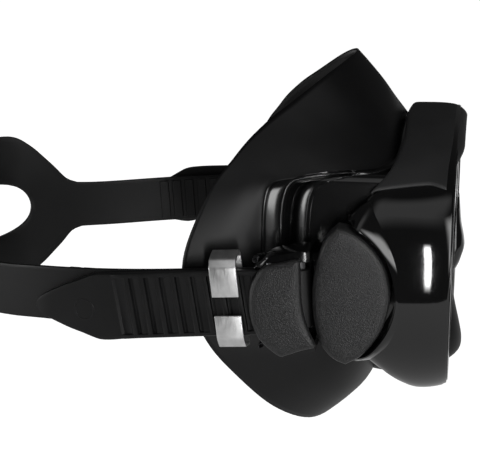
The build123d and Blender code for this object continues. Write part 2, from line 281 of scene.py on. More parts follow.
def bump(mat, height, strength, depth_mm):
    """Surface relief from a height pattern."""
    relief = node(mat, "ShaderNodeBump")
    relief.inputs["Strength"].default_value = strength
    relief.inputs["Distance"].default_value = depth_mm * MM
    mat.node_tree.links.new(height, relief.inputs["Height"])
    mat.node_tree.links.new(relief.outputs["Normal"], shader(mat, "Normal"))


def gloss_black():
    mat = material("gloss_black", (0.0015, 0.0015, 0.0016), 0.04)
    waves = noise(mat, 14.0, 1.0)
    dust = noise(mat, 0.6, 2.0)
    set_rough(mat, ramp(mat, dust.outputs["Fac"], 0.03, 0.07))
    tint(mat, waves.outputs["Fac"], (0.002, 0.002, 0.0021), (0.004, 0.004, 0.0041))
    bump(mat, waves.outputs["Fac"], 0.04, 0.04)
    return mat


def buckle_black():
    mat = material("buckle_black", (0.002, 0.002, 0.0021), 0.16, specular=0.3)
    grain = noise(mat, 2.0, 2.0)
    set_rough(mat, ramp(mat, grain.outputs["Fac"], 0.13, 0.2))
    return mat


def matt_black():
    mat = material("matt_black", (0.008, 0.008, 0.0083), 0.6)
    grain = noise(mat, 0.25, 3.0)
    cloud = noise(mat, 12.0, 2.0)
    tint(mat, cloud.outputs["Fac"], (0.006, 0.006, 0.0063), (0.009, 0.009, 0.0094))
    set_rough(mat, ramp(mat, cloud.outputs["Fac"], 0.58, 0.68))
    bump(mat, grain.outputs["Fac"], 0.12, 0.03)
    return mat


def silicone(name, rough):
    mat = material(name, (0.003, 0.003, 0.0032), rough, specular=0.22)
    grain = noise(mat, 0.4, 3.0)
    cloud = noise(mat, 9.0, 3.0)
    tint(mat, cloud.outputs["Fac"], (0.002, 0.002, 0.0021), (0.004, 0.004, 0.0042))
    set_rough(mat, ramp(mat, cloud.outputs["Fac"], rough - 0.03, rough + 0.04))
    bump(mat, grain.outputs["Fac"], 0.05, 0.015)
    return mat


def skirt_silicone():
    """Satin on the flange, smoother on the chamber between the frame and the flange."""
    mat = silicone("skirt_silicone", 0.45)
    part = node(mat, "ShaderNodeAttribute", attribute_name="chamber")
    set_rough(mat, ramp(mat, part.outputs["Fac"], 0.42, 0.17, 0.0, 1.0))
    shine = ramp(mat, part.outputs["Fac"], 0.22, 0.55, 0.0, 1.0)
    mat.node_tree.links.new(shine, shader(mat, "Specular IOR Level"))
    return mat


def textured_black():
    """Fine moulded grain: shallow cells with a brighter speckle."""
    mat = material("textured_black", (0.03, 0.03, 0.0305), 0.4, specular=0.3)
    cells = node(mat, "ShaderNodeTexVoronoi")
    coords = node(mat, "ShaderNodeTexCoord")
    cells.inputs["Scale"].default_value = 1 / (0.3 * MM)
    mat.node_tree.links.new(coords.outputs["Object"], cells.inputs["Vector"])
    grain = noise(mat, 0.3, 3.0)
    speckle = ramp(mat, grain.outputs["Fac"], 0.0, 1.0, 0.42, 0.68)
    tint(mat, speckle, (0.002, 0.002, 0.0021), (0.03, 0.03, 0.0305))
    set_rough(mat, ramp(mat, grain.outputs["Fac"], 0.28, 0.46))
    bump(mat, cells.outputs["Distance"], 0.7, 0.1)
    return mat


def satin_metal():
    mat = material("keeper_satin", (0.62, 0.62, 0.62), 0.4, metal=1.0)
    brushed = noise(mat, 0.35, 4.0, stretch=(1, 1, 8))
    blotch = noise(mat, 2.5, 3.0)
    tint(mat, blotch.outputs["Fac"], (0.42, 0.42, 0.42), (0.72, 0.72, 0.72))
    set_rough(mat, ramp(mat, brushed.outputs["Fac"], 0.3, 0.5))
    bump(mat, brushed.outputs["Fac"], 0.25, 0.03)
    return mat


def steel():
    mat = material("stainless_steel", (0.55, 0.55, 0.56), 0.25, metal=1.0)
    brushed = noise(mat, 0.15, 3.0, stretch=(6, 1, 1))
    set_rough(mat, ramp(mat, brushed.outputs["Fac"], 0.18, 0.35))
    bump(mat, brushed.outputs["Fac"], 0.1, 0.01)
    return mat


def spring_black():
    mat = material("spring_black", (0.02, 0.02, 0.021), 0.4, metal=1.0)
    film = noise(mat, 0.3, 2.0)
    set_rough(mat, ramp(mat, film.outputs["Fac"], 0.35, 0.5))
    return mat


def dark_grey():
    mat = material("roller_grey", (0.05, 0.05, 0.052), 0.35)
    grain = noise(mat, 0.5, 2.0)
    set_rough(mat, ramp(mat, grain.outputs["Fac"], 0.3, 0.42))
    return mat


def glass():
    mat = material("tempered_glass", (0.9, 0.96, 0.95), 0.02)
    shader(mat, "Transmission Weight").default_value = 1.0
    shader(mat, "IOR").default_value = 1.5
    smear = noise(mat, 18.0, 2.0)
    set_rough(mat, ramp(mat, smear.outputs["Fac"], 0.0, 0.03))
    return mat


GLOSS = gloss_black()
MATT = matt_black()
SKIRT_SILICONE = skirt_silicone()
STRAP_SILICONE = silicone("strap_silicone", 0.42)
TEXTURED = textured_black()
BUCKLE = buckle_black()
KEEPER = satin_metal()
STEEL = steel()
SPRING = spring_black()
GREY = dark_grey()
GLASS = glass()

CAD_LOOKS = {
    "front_frame": GLOSS, "brow_cap": MATT, "front_rim": GLOSS, "bridge_trim": GLOSS,
    "lens": GLASS, "skirt": SKIRT_SILICONE, "strap_keeper": KEEPER, "strap_roller": GREY,
    "strap": STRAP_SILICONE, "pivot_pin": STEEL, "roller_pin": STEEL, "lever_pins": STEEL,
    "lever_springs": SPRING, "buckle_body": BUCKLE, "swivel_cover": TEXTURED,
    "release_lever": TEXTURED,
}


def dress(obj, mat):
    """Gives the whole object one material."""
    obj.data.materials.clear()
    obj.data.materials.append(mat)


def dress_cad():
    """A finished material on every CAD node, by the longest matching name."""
    for name, obj in frame["nodes"].items():
        key = max((k for k in CAD_LOOKS if name.startswith(k)), key=len)
        for slot in obj.material_slots:
            slot.material = CAD_LOOKS[key]


dress_cad()


# ---------------------------------------------------------------- housing outline

# Half of the housing's front outline, from the top of the mid-plane to the nose arch: x, z and the
# depth at which the side wall ends behind it.
HALF_OUTLINE = [
    (0, 45.8, -67.6), (22, 45.1, -68.2), (38, 42.1, -68.1), (52, 37.0, -65.3), (63, 29.5, -58.5),
    (69, 17, -53), (70.5, 2, -52), (69, -12, -53.5), (64, -22.5, -61.8), (56, -30, -69.5),
    (46, -33, -72), (34, -32, -73), (23, -23, -74), (14, -6, -74), (0, 2, -74),
]
FRONT_Y = -82.0
LIP_Y = -84.5        # the side wall's front edge, wrapped round the rim
RIM_Y = -84.8        # the bezel's front face
WALL = 2.4
SHELL_BOW, BOW_PEAK = 1.7, 0.36     # how far the side wall swells, and where along its depth
BOW_FADE_Z = (27.0, 33.0)           # the swell dies out between these heights, under the brow


def housing_ring(steps=8):
    """Dense outline stations: x, z, rear depth and the outward direction in the front view."""
    full = HALF_OUTLINE + [(-x, z, y) for x, z, y in reversed(HALF_OUTLINE[1:-1])]
    ring = spline(full, steps, closed=True)
    ahead = np.roll(ring, -1, axis=0) - np.roll(ring, 1, axis=0)
    out = np.stack([ahead[:, 1], -ahead[:, 0]], axis=1)
    out /= np.linalg.norm(out, axis=1)[:, None]
    if (out[2] * ring[2, :2]).sum() < 0:
        out = -out
    return ring, out


RING, RING_OUT = housing_ring()


def ring_point(index, y, offset):
    """A point on the housing's outline at a depth, moved outward."""
    x, z = RING[index, :2] + RING_OUT[index] * offset
    return (x, y, z)


def make_shell():
    """The housing's side wall with a gently bowed section and a rounded front edge."""
    grid = []
    for i in range(len(RING)):
        rear = RING[i, 2]
        run = rear - LIP_Y
        rows = [(rear - 0.3, -WALL), (rear, -WALL + 0.5), (rear, -1.1), (rear - 0.35, -0.45),
                (rear - 1.2, -0.1)]
        bow = SHELL_BOW * (1 - float(np.interp(RING[i, 1], BOW_FADE_Z, (0.0, 1.0))))
        for t in (0.1, 0.2, 0.3, 0.4, 0.5, 0.6, 0.7, 0.8, 0.9):
            off = (t - BOW_PEAK) / (1 - BOW_PEAK if t > BOW_PEAK else BOW_PEAK)
            rows.append((rear - run * t, bow * (1 - off * off)))
        rows += [(LIP_Y + 0.7, 0.02), (LIP_Y + 0.3, -0.12), (LIP_Y + 0.05, -0.3), (LIP_Y, -0.55),
                 (LIP_Y + 0.1, -0.85), (LIP_Y + 0.3, -0.95), (FRONT_Y, -0.95), (FRONT_Y, -6.0),
                 (FRONT_Y + WALL, -6.0), (FRONT_Y + WALL, -WALL)]
        grid.append([ring_point(i, y, off) for y, off in rows])
    return fix_normals(grid_object("shell", grid, closed_u=True, closed_v=True))


def plate_object(name, outline, y_low, y_high):
    """A flat plate across the mask from a closed (x, z) outline."""
    rings = [[(x, y, z) for x, z in outline] for y in (y_low, y_high)]
    return fix_normals(grid_object(name, rings, closed_v=True, caps=True))


def disc_object(name, radius, x_low, x_high, z=0.0, steps=96):
    """A disc across the mask, level with the buckle's pivot or a little above it."""
    turn = [2 * math.pi * k / steps for k in range(steps)]
    rings = [[(x, PIVOT.y + radius * math.cos(a), z + radius * math.sin(a)) for a in turn]
             for x in (x_low, x_high)]
    return fix_normals(grid_object(name, rings, closed_v=True, caps=True))


LENS = [
    (7, 32), (9, 12), (17, -5), (27, -17), (40, -22), (53, -15), (60, 0), (61, 16), (54, 28.5),
    (40, 36), (20, 39),
]
LENS_CENTRE = np.array([36.0, 12.0])
SEAT_R, SEAT_Z = 24.35, 1.4         # the round seat that the swivel cover turns in
SEAT_X, COLLAR_X = 62.6, 72.2       # the seat's floor and the collar's crest, from the mid-plane


def lens_outline(by):
    """The left lens's outline moved inward."""
    reach = spline(LENS, 6, closed=True) - LENS_CENTRE
    return LENS_CENTRE + reach * (1 - by / np.linalg.norm(reach, axis=1))[:, None]


def cut_lenses(plate, by):
    """Opens both lens holes through a front plate."""
    for side in (1, -1):
        hole = [(side * x, z) for x, z in lens_outline(by)]
        cut(plate, plate_object("hole", hole, FRONT_Y - 6, FRONT_Y + 5))


def make_front_plate():
    """The plate behind the rim, with both lens openings."""
    outline = [ring_point(i, 0, -1.6) for i in range(len(RING))]
    plate = plate_object("plate", [(x, z) for x, _, z in outline], FRONT_Y + 0.1, FRONT_Y + 2.6)
    cut_lenses(plate, 2.4)
    return plate


def wall_x(z):
    """How far out the housing's left wall stands at a height."""
    half = RING[: len(RING) // 2 + 1]
    wide = half[half[:, 0] > 50]
    return float(np.interp(z, wide[::-1, 1], wide[::-1, 0]))


def make_collar():
    """The convex bevel on the left that rises from the wall to the swivel cover's seat."""
    grid = []
    for t in np.linspace(0, 1, 97):
        angle = math.radians(-62 + 129 * t)     # from low at the front, round to high at the rear
        end = math.sin(math.pi / 2 * min(1, t / 0.16, (1 - t) / 0.06))
        wide = (2.8 + 1.6 * t + 15 * max(0.0, t - 0.75)) * (0.15 + 0.85 * end)
        brink = SEAT_R + 0.7
        foot_r = brink + wide
        foot_x = wall_x(SEAT_Z + foot_r * math.sin(angle)) + 0.5
        top_x = foot_x + (COLLAR_X - foot_x) * end
        drop = top_x - foot_x
        slope = [(brink + a * wide, top_x - b * drop) for a, b in ((0.3, 0.24), (0.6, 0.54), (0.85, 0.82))]
        profile = [
            (SEAT_R, SEAT_X), (SEAT_R, top_x - 0.7), (SEAT_R + 0.1, top_x - 0.25), (SEAT_R + 0.35, top_x),
            (brink, top_x - 0.1), *slope, (foot_r, foot_x), (foot_r, SEAT_X),
        ]
        grid.append([(x, PIVOT.y - r * math.cos(angle), SEAT_Z + r * math.sin(angle)) for r, x in profile])
    return fix_normals(grid_object("collar", grid, closed_v=True, caps=True))


def make_ear():
    """The plate under the left swivel cover and the ear that carries the pivot."""
    plate = disc_object("ear_plate", SEAT_R + 0.6, 60.2, 62.4, SEAT_Z)
    box = plate_object("clear", [(40, -40), (80, -40), (80, 40), (40, 40)], -53.0, 0.0)
    cut(plate, box)
    ear = disc_object("ear", 11.0, 58.7, 62.5)
    arm = plate_object("arm", [(58.8, -11), (62.4, -11), (62.4, 11), (58.8, 11)], -62.0, PIVOT.y)
    return join([plate, ear, arm], "ear")


def make_housing():
    """The whole front frame: side wall, front plate, and a collar and an ear on each side."""
    shell = make_shell()
    for low, high in ((SEAT_X, 90), (-90, -SEAT_X)):
        cut(shell, disc_object("seat", SEAT_R, low, high, SEAT_Z))
    collar, ear = make_collar(), make_ear()
    parts = [shell, make_front_plate(), collar, ear, mirrored_copy(collar, "collar_r"),
             mirrored_copy(ear, "ear_r")]
    return sharpen(join(parts, "housing"), 32)


def place(obj, mat, body, slot, *nodes):
    """Finishes a piece: material, the body it rides on and the CAD nodes it stands for."""
    dress(obj, mat)
    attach(obj, body)
    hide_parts(*nodes)
    return obj


place(make_housing(), GLOSS, "frame", "gloss_black", "front_frame")


def make_rim():
    """The bezel over both lenses, set inside the wall's front edge."""
    outline = [ring_point(i, 0, -1.1) for i in range(len(RING))]
    rim = plate_object("rim", [(x, z) for x, _, z in outline], RIM_Y, FRONT_Y - 0.02)
    cut_lenses(rim, 2.0)
    under_brow = [(-46, 41.5), (46, 41.5), (46, 60), (-46, 60)]
    cut(rim, plate_object("lip", under_brow, FRONT_Y - 6, FRONT_Y + 5))
    return sharpen(bake(round_edges(rim, 0.55, 50, 3)), 40)


place(make_rim(), GLOSS, "frame", "rim_black", "front_rim")


BRIDGE = [   # z, half width at the rim, half width of the crest, crest depth
    (17.5, 3.4, 1.6, -85.2), (15.6, 4.4, 2.2, -85.4), (13.0, 5.0, 2.4, -85.8), (8.0, 6.2, 2.6, -86.6),
    (3.0, 8.0, 3.0, -87.7), (-0.3, 8.8, 3.2, -88.0), (-4.0, 8.8, 3.0, -86.9), (-6.5, 7.4, 2.2, -85.6),
    (-7.6, 5.0, 1.4, -85.2),
]


BRIDGE_ROOT_Y = -84.9


def make_bridge():
    """The wedge over the nose bridge, rounded along its crest."""
    grid = []
    for z, foot, crest, deep in spline(BRIDGE, 5):
        rise = deep - BRIDGE_ROOT_Y - 0.6
        half = [(foot, BRIDGE_ROOT_Y), (foot * 0.97, BRIDGE_ROOT_Y + rise * 0.2),
                ((foot + crest) / 2 + 0.3, BRIDGE_ROOT_Y + rise * 0.68), (crest, deep + 0.12), (0.0, deep)]
        ring = [(x, y, z) for x, y in half] + [(-x, y, z) for x, y in reversed(half[:-1])]
        grid.append(ring)
    return sharpen(fix_normals(grid_object("bridge", grid, closed_v=True, caps=True)), 50)


place(make_bridge(), GLOSS, "frame", "gloss_black", "bridge_trim")


# ---------------------------------------------------------------- brow cap

BROW_LINE = [    # the cap's lower edge on the side wall: depth, height
    (-86.0, 33.0), (-82.9, 33.0), (-78.3, 33.7), (-71.7, 34.0), (-65.8, 33.0), (-61.6, 32.4), (-55, 31.5),
]


def brow_row(y_of, offset_of, count=81):
    """One row of the cap across the housing, from the right edge over the top to the left edge."""
    half = RING[: len(RING) // 2 + 1]
    normals = RING_OUT[: len(RING) // 2 + 1]
    lengths = np.concatenate([[0], np.cumsum(np.linalg.norm(np.diff(half[:, :2], axis=0), axis=1))])
    side_y = y_of(60.0, -59.0)
    edge_z = np.interp(side_y, *columns(BROW_LINE))
    upper = [i for i in range(len(half) - 1) if half[i, 1] >= edge_z >= half[i + 1, 1]][0]
    part = (half[upper, 1] - edge_z) / (half[upper, 1] - half[upper + 1, 1])
    end = lengths[upper] + part * (lengths[upper + 1] - lengths[upper])
    row = []
    for k in range(count):
        s = end * (2 * k / (count - 1) - 1)
        x, z, rear = (np.interp(abs(s), lengths, half[:, c]) for c in range(3))
        nx, nz = (np.interp(abs(s), lengths, normals[:, c]) for c in range(2))
        off = offset_of(x)
        side = 1 if s > 0 else -1
        row.append((side * (x + nx * off), y_of(x, rear), z + nz * off))
    return row


def brow_reach(x):
    """How far the cap's lip stands over the rim: full over the nose, none at the sides."""
    t = min(1.0, max(0.0, (60 - abs(x)) / 32))
    return t * t * (3 - 2 * t)


def make_brow():
    """The matt cap: a rounded lip at the rear and a brow that laps over the rim."""
    def rear(shift):
        return lambda x, y: y + shift

    def front(y, extra):
        return lambda x, _: y - extra * brow_reach(x)

    def drop(base, extra):
        return lambda x: base - extra * brow_reach(x)

    rows = [
        brow_row(rear(-1.5), drop(-2.2, 0)), brow_row(rear(0.5), drop(-1.6, 0)),
        brow_row(rear(0.9), drop(-0.7, 0)), brow_row(rear(0.6), drop(0.1, 0)),
        brow_row(rear(-0.3), drop(0.5, 0)), brow_row(rear(-1.8), drop(0.6, 0)),
        brow_row(rear(-3.6), drop(0.65, 0)), brow_row(front(-76.0, 0.2), drop(0.7, 0)),
        brow_row(front(-79.5, 0.6), drop(0.55, 0)), brow_row(front(-81.6, 1.6), drop(0.2, 0.2)),
        brow_row(front(-82.6, 3.0), drop(-0.4, 1.2)), brow_row(front(-82.9, 3.9), drop(-0.9, 2.4)),
        brow_row(front(-82.9, 3.7), drop(-1.2, 3.3)), brow_row(front(-82.8, 2.6), drop(-1.5, 4.1)),
        brow_row(front(-82.6, 1.2), drop(-1.7, 4.7)), brow_row(front(-82.2, 0.4), drop(-1.8, 5.1)),
    ]
    rows = np.array(rows)
    dense = np.stack([spline(rows[:, k], 3) for k in range(rows.shape[1])], axis=1)
    return thicken(fix_normals(grid_object("brow_cap_skin", dense)), 0.7, -1)


place(make_brow(), MATT, "frame", "matt_black", "brow_cap")


# ---------------------------------------------------------------- skirt

# Stations go round the +X half from the top of the mid-plane to the bottom.
RIM = [      # the feather edge that lies on the face
    (0, -49.3, 66.8), (16, -46.4, 65.2), (27, -40.7, 61.4), (35.5, -31.3, 54.2), (38.6, -26.5, 50.6),
    (41.3, -22.8, 47.3), (45.0, -18.9, 43.3), (49.6, -15.1, 38.4), (55.6, -8.6, 29), (60.5, -1.3, 10),
    (60.5, -1.6, -4), (58.8, -7.9, -19.9), (55.1, -16.4, -31.9), (47.2, -28, -45.6), (34.4, -38.8, -54.3),
    (18.6, -46.4, -55.0), (0, -49, -52.5),
]
CHAMBER = [  # the chamber's outer wall in the plane of the frame, as (x, z)
    (0, 42.5), (17, 42), (30, 40.4), (42.5, 37.2), (50.5, 35.8), (54.5, 35.8), (56.5, 34.8), (57.4, 33),
    (57.8, 26), (57.8, 10), (57.6, -4), (55.4, -13), (51, -20), (43, -25.5), (32, -31), (17, -35), (0, -37),
]
ROOT_Y = [-66, -66, -66, -64, -56, -46, -35, -28, -25.5, -25, -25, -28, -37, -50, -57, -60, -61]
FOLD = [0, 0, 0, 0, 0.05, 0.3, 0.75, 1, 1, 1, 1, 1, 0.8, 0.3, 0.1, 0, 0]   # how deep the bellows fold is
BOW = [1.5, 1.5, 1.5, 1.5, 1.5, 1.5, 1.5, 1.5, 1.2, 1.2, 1.2, 1.5, 2, 2.2, 2.6, 2.8, 2.8]  # forward swell
SKIRT_FRONT_Y = -77.5
SKIRT_WALL = 1.3
SKIRT_CENTRE = np.array([0.0, 8.0])
CREASE_ROW = 14      # the profile's point where the chamber ends and the flange begins
PROFILE_STEPS = 4    # points of the mesh for each step of the profile
FOLDS = [            # the bellows section: how far in from the wall, how far ahead of the crease
    (0.0, 16.0), (0.15, 14.6), (1.0, 12.8), (2.4, 11.0), (4.3, 9.5), (4.3, 8.7), (1.2, 7.6), (0.1, 6.4),
    (0.5, 4.8), (1.4, 3.0), (2.4, 1.3),
]


def skirt_profile(index):
    """Front edge, chamber wall, bellows fold, crease, flange and rim at one station."""
    wall = np.array(CHAMBER[index], float)
    rim = np.array(RIM[index], float)
    inward = SKIRT_CENTRE - wall
    inward /= np.linalg.norm(inward)
    root, fold = ROOT_Y[index], FOLD[index]

    def at(shift, y):
        x, z = wall + inward * shift
        return np.array([x, y, z])

    middle = SKIRT_FRONT_Y + 0.5 * (root - 12 * fold - 4 - SKIRT_FRONT_Y)
    crease = at(0.3 + 3.2 * fold, root)
    toward = np.array([-inward[0] * 0.5, -1.0, -inward[1] * 0.5])
    swell = toward / np.linalg.norm(toward) * BOW[index]
    bellows = [at(deep * fold, root - ahead * fold - 0.25 * ahead * (1 - fold)) for deep, ahead in FOLDS]
    return [
        at(1.2, SKIRT_FRONT_Y), at(0.6, SKIRT_FRONT_Y + 3), at(0.0, middle), *bellows, crease,
        crease * 0.8 + rim * 0.2 + swell * 0.6, crease * 0.5 + rim * 0.5 + swell,
        crease * 0.22 + rim * 0.78 + swell * 0.6, rim,
    ]


def make_skirt_shell():
    """The moulding's chamber, bellows and flange."""
    half = [skirt_profile(i) for i in range(len(RIM))]
    flip = np.array([-1.0, 1.0, 1.0])
    full = half + [[p * flip for p in row] for row in reversed(half[1:-1])]
    rows = np.array([spline(row, PROFILE_STEPS) for row in full])
    grid = np.stack([spline(rows[:, j], 6, closed=True) for j in range(rows.shape[1])], axis=1)
    shell = grid_object("skirt_shell", grid, closed_u=True)
    smooth = shell.data.attributes.new("chamber", "FLOAT", "POINT")
    for k, item in enumerate(smooth.data):
        item.value = 1.0 if k % grid.shape[1] <= PROFILE_STEPS * CREASE_ROW else 0.0
    return thicken(fix_normals(shell), SKIRT_WALL, -1)


NOSE_RINGS = [   # the nose pocket from the top down: z, centre depth, half width, half depth
    (-1, -71, 6, 8), (-6, -71, 8, 10.5), (-14, -70, 10.5, 14), (-22, -68.5, 13, 17.3),
    (-29, -67.5, 15.3, 20), (-34, -67, 16.6, 21.4), (-38, -67, 16.8, 20.8), (-41.5, -66, 15.5, 18),
    (-44, -65, 12, 13.5), (-45.4, -64, 6, 7),
]
NOSE_WIDTH = sorted((z, half) for z, _, half, _ in NOSE_RINGS)
NOSE_FLOOR = -35.0   # above here the pocket is open towards the face
NOSE_REAR = -66.5    # the open pocket's rear edge
ARCH = [(0, 2), (14, -6), (23, -23), (34, -32)]   # the housing's nose arch: x, z
FLOOR = sorted(CHAMBER[12:])                      # the chamber's floor: x, z
WEB_Y, WEB_SWEEP = -73.0, 6.0    # the web's depth at the arch, and how far it sweeps back to the nose


def nose_pinch(y, z):
    """How far the pocket's sides are pressed in at the nostrils."""
    return 2.8 * math.exp(-((z + 29) / 6.5) ** 2) * math.exp(-((y + 5) / 8.5) ** 2)


def make_nose():
    """The nose pocket, pinched in at both nostrils and open at the rear."""
    grid = []
    for z, mid, half, deep in spline(NOSE_RINGS, 4):
        ring = []
        for k in range(72):
            a = 2 * math.pi * k / 72
            x, y = half * math.cos(a), deep * math.sin(a)
            ring.append((x * (1 - nose_pinch(y, z) / half), mid + y, z))
        grid.append(ring)
    nose = grid_object("nose", grid, closed_v=True)
    drop_points(nose, lambda x, y, z: z > NOSE_FLOOR and y > NOSE_REAR)
    return thicken(fix_normals(nose), SKIRT_WALL, -1)


def make_web():
    """The wall that joins the nose pocket to the housing's arch and the chamber's floor."""
    grid = []
    for x in np.linspace(-35, 35, 141):
        low = np.interp(abs(x), *columns(FLOOR)) - 0.5
        high = np.interp(abs(x), *columns(ARCH)) + 4
        column = []
        for z in np.linspace(low, max(high, low + 1), 60):
            beside = abs(x) - np.interp(z, *columns(NOSE_WIDTH))
            column.append((x, WEB_Y + WEB_SWEEP * math.exp(-(max(beside, 0) / WEB_SWEEP) ** 2), z))
        grid.append(column)
    web = grid_object("web", grid)

    def in_pocket(x, _, z):
        room = np.interp(z, *columns(NOSE_WIDTH)) - 2.6
        return NOSE_FLOOR < z < -4 and abs(x) < min(room, 15.8)

    drop_points(web, in_pocket)
    return thicken(fix_normals(web), SKIRT_WALL, 0)


skirt = join([make_skirt_shell(), make_nose(), make_web()], "face_skirt")
place(skirt, SKIRT_SILICONE, "frame", "skirt_silicone", "skirt")


# ---------------------------------------------------------------- strap

# In plan the strap runs straight back from the rollers, bends in on a large arc and closes round the
# back of the head on a smaller one. The tails lie outside it on an arc of their own.
STRAP_T = 1.6
RUN_X, SIDE_R, SIDE_END_Y = 66.3, 150.0, 85.0
SIDE_TURN = math.asin(SIDE_END_Y / SIDE_R)
REAR_R = (RUN_X - SIDE_R * (1 - math.cos(SIDE_TURN))) / math.cos(SIDE_TURN)
REAR_Y0 = SIDE_END_Y - REAR_R * math.sin(SIDE_TURN)
REAR_LEN = REAR_R * (math.pi / 2 - SIDE_TURN)
SIDE_LEN = SIDE_R * SIDE_TURN
ROLLER = (68.7, -40.0)
BEND_R = 2.4
TAIL_R, TAIL_A0 = 330.0, math.radians(-2.0)
TAIL_C = (ROLLER[0] + BEND_R - TAIL_R * math.cos(TAIL_A0), ROLLER[1] - TAIL_R * math.sin(TAIL_A0))


def loop_plan(s):
    """Plan point and outward direction at a distance from the middle of the back, left positive."""
    side, s = (1 if s >= 0 else -1), abs(s)
    if s < REAR_LEN:
        a = math.pi / 2 - s / REAR_R
        x, y, nx, ny = REAR_R * math.cos(a), REAR_Y0 + REAR_R * math.sin(a), math.cos(a), math.sin(a)
    elif s < REAR_LEN + SIDE_LEN:
        a = SIDE_TURN - (s - REAR_LEN) / SIDE_R
        x, y = RUN_X - SIDE_R + SIDE_R * math.cos(a), SIDE_R * math.sin(a)
        nx, ny = math.cos(a), math.sin(a)
    else:
        x, y, nx, ny = RUN_X, -(s - REAR_LEN - SIDE_LEN), 1.0, 0.0
    return side * x, y, side * nx, ny


def table(pairs, value):
    """Smooth interpolation in a list of (key, value) pairs, level beyond its ends."""
    pts = spline(pairs, 8)
    return float(np.interp(value, pts[:, 0], pts[:, 1]))


# The lie of the strap: its middle's height above the straight droop, by distance round the loop.
LIE = [(-178, 0.3), (-130, 0.3), (-90, 0.1), (-72, -0.2), (-40, 1.0), (0, 3.6), (36, 5.2), (50, 5.2),
       (68, 3.0), (85, 1.8), (115, 1.3), (178, 0.6)]
# Half the strap's width over both bands, by distance from the middle of the back.
PAD = [(0, 29.2), (20, 29.3), (37, 28.9), (45.3, 27.6), (51.3, 23.8), (55.6, 19.8), (60, 15.4),
       (64, 11), (67.5, 9.4), (71, 9.0), (90, 8.9), (178, 8.9)]
SLOT_LONG, SLOT_HALF = 48.7, 11.2   # half length and half height of the split
RIB_PITCH = 5.07


def make_band():
    """Both arms, running up to the rollers, and the split pad, as one moulded band."""
    ends = [SLOT_LONG * (1 - 0.12 * (1 - math.cos(math.pi / 2 * k / 8))) for k in range(9)]
    spots = sorted(set([round(v, 3) for v in list(np.linspace(0, 42.5, 18)) + ends
                        + list(np.linspace(50.5, 70, 14)) + list(np.linspace(73, 104, 12))]))
    spots += list(np.linspace(110.0, REAR_LEN + SIDE_LEN + 40.0, 24))
    signed = [-s for s in reversed(spots[1:])] + spots
    halves = []
    for half in (1, -1):
        grid = []
        for s in signed:
            x, y, _, _ = loop_plan(s)
            hole = SLOT_HALF * math.sqrt(max(0.0, 1 - (abs(s) / SLOT_LONG) ** 6))
            wide = table(PAD, abs(s))
            mid = table(LIE, s) + 1.2 * max(0.0, 1 - abs(s) / 60)
            grid.append([(x, y, mid + half * (hole + (wide - hole) * k / 8)) for k in range(9)])
        halves.append(grid_object("band", grid))
    band = thicken(fix_normals(join(halves, "band"), 0.02), STRAP_T, 0)
    return bake(round_edges(band, 0.35, 40))


def make_run_ribs():
    """Low grip ribs on the inner face of the left arm, just behind the buckle."""
    ribs = []
    for index in range(12):
        start = REAR_LEN + SIDE_LEN + 20.0 - RIB_PITCH * index
        rings = []
        for s in (start, start + 0.3, start + 3.5, start + 3.8):
            x, y, nx, ny = loop_plan(s)
            out = 0.75 if s in (start, start + 3.8) else 1.25
            mid = table(LIE, s)
            rings.append([(x - nx * o, y - ny * o, mid + w) for w, o in
                          ((-7.8, 0.5), (-7.5, out), (7.5, out), (7.8, 0.5))])
        ribs.append(fix_normals(grid_object("rib", rings, closed_v=True, caps=True)))
    return join(ribs, "run_ribs")


def tail_plan(s):
    """Plan point and outward direction at a distance along the left tail."""
    a = TAIL_A0 + s / TAIL_R
    return (TAIL_C[0] + TAIL_R * math.cos(a), TAIL_C[1] + TAIL_R * math.sin(a), math.cos(a), math.sin(a))


# Half the tail's width by distance from the roller.
TAIL_HALF = [(0, 9.4), (14, 10.3), (30, 10.5), (55, 10.7), (64, 11.0), (67, 10.6), (72, 8.8), (76, 7.5),
             (80, 5.9), (83.5, 4.4), (86, 3.0), (87.4, 1.6), (88, 0.3)]
GROOVES = [52.6 - RIB_PITCH * k for k in range(9)]
LEAN = 0.093                 # the grip ribs lean this much along the tail per unit of width
RIB_H, TAB_H = 0.95, 0.75    # how far the ribs and the tab stand over the strap's face
TAIL_LONG = 88.0
EMBLEM = (70.3, -0.8, 3.3)   # the ring's distance along the tail, height and radius


def tail_heights():
    """Breakpoints of the tail's outer face between its side rails, as (distance, height)."""
    points = [(6.0, 0.0), (9.0, 0.4), (12.0, RIB_H - 0.35)]
    for g in reversed(GROOVES):
        points += [(g - 0.75, RIB_H - 0.35), (g - 0.5, -0.1), (g + 0.5, -0.1), (g + 0.75, RIB_H),
                   (g + 1.9, RIB_H), (g + 2.4, RIB_H - 0.35)]
    points += [(55.4, RIB_H - 0.35), (55.6, -0.2), (58.3, -0.2), (58.9, TAB_H - 0.08), (59.4, TAB_H)]
    return points


